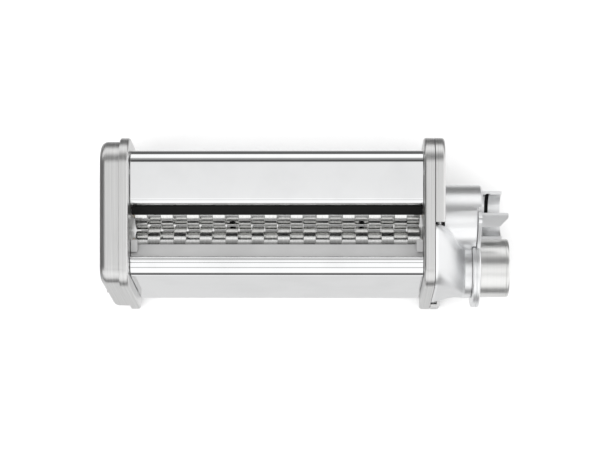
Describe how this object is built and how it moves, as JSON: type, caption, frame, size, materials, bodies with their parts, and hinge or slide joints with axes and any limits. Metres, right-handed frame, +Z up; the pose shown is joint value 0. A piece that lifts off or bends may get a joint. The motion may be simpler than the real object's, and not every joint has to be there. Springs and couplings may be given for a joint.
{
  "type": "pasta roller machine",
  "caption": "Metal stand-mixer pasta cutter: end plates, bright covers, interleaved cutter rollers under a feed slot, and a gear case with drive collar and locking ring.",
  "frame": {"origin": "centre of the footprint: the middle of the bounding box in X and Y, on the plane the plates stand on", "axes": "+X along the rollers toward the drive collar, +Y to the rear, +Z up out of the feed slot"},
  "size_m": [0.2044, 0.0872, 0.06],
  "materials": {
    "chrome": "bright mirror finish",
    "brushed": "brushed stainless",
    "machined": "turned, bright",
    "cast": "satin die cast",
    "grey_plastic": "matt grey",
    "black": "matt black",
    "bronze": "plain bearing bronze",
    "steel": "plain steel"
  },
  "bodies": {
    "frame": {"case_screw_front": "steel", "case_screw_rear": "steel", "drive_bushing_inner": "bronze", "drive_bushing_outer": "bronze", "front_cover": "chrome", "front_feed_guide": "grey_plastic", "front_scraper_comb": "grey_plastic", "gear_case": "cast", "hub_collar": "machined", "latch_guard": "cast", "left_bushing_front": "bronze", "left_bushing_rear": "bronze", "left_cap_screw_front": "steel", "left_cap_screw_rear": "steel", "left_end_cap": "brushed", "left_feed_cheek": "grey_plastic", "left_side_plate": "brushed", "rear_cover": "chrome", "rear_feed_guide": "black", "rear_scraper_comb": "grey_plastic", "right_bushing_front": "bronze", "right_bushing_rear": "bronze", "right_cap_screw_rear_deep": "steel", "right_cap_screw_rear_high": "steel", "right_end_cap": "brushed", "right_feed_cheek": "grey_plastic", "right_side_plate": "brushed", "tie_rod_front_low": "steel", "tie_rod_front_top": "steel", "tie_rod_rear_low": "steel", "tie_rod_rear_top": "steel", "tie_screw_left_front_low": "steel", "tie_screw_left_front_top": "steel", "tie_screw_left_rear_low": "steel", "tie_screw_left_rear_top": "steel", "tie_screw_right_front_low": "steel", "tie_screw_right_front_top": "steel", "tie_screw_right_rear_low": "steel", "tie_screw_right_rear_top": "steel"},
    "front_roller": {"front_cutter_roller": "machined", "front_roller_shaft": "steel", "front_set_screw_a": "black", "front_set_screw_b": "black", "front_sync_gear": "steel", "drive_wheel": "steel"},
    "rear_roller": {"rear_cutter_roller": "machined", "rear_roller_shaft": "steel", "rear_set_screw_a": "black", "rear_set_screw_b": "black", "rear_sync_gear": "steel"},
    "drive_shaft": {"drive_shaft": "steel", "drive_pinion": "steel", "drive_shaft_clip": "steel"},
    "locking_ring": {"locking_ring": "cast"}
  },
  "joints": [
    {"name": "front_roller_spin", "type": "hinge", "parent": "frame", "child": "front_roller", "pos_m": [-0.01485, -0.0121, 0.033], "axis": [1, 0, 0], "continuous": true},
    {"name": "rear_roller_spin", "type": "hinge", "parent": "frame", "child": "rear_roller", "pos_m": [-0.01485, 0.0099, 0.033], "axis": [1, 0, 0], "continuous": true},
    {"name": "drive_shaft_spin", "type": "hinge", "parent": "frame", "child": "drive_shaft", "pos_m": [0.078, -0.0216, 0.02272], "axis": [1, 0, 0], "continuous": true},
    {"name": "locking_ring_turn", "type": "hinge", "parent": "frame", "child": "locking_ring", "pos_m": [0.085, -0.0216, 0.02272], "axis": [1, 0, 0], "range_deg": [0, 25]}
  ],
  "couplings": [
    {"joint": "rear_roller_spin", "follows": "front_roller_spin", "ratio": -1},
    {"joint": "drive_shaft_spin", "follows": "front_roller_spin", "ratio": -1.5455}
  ]
}
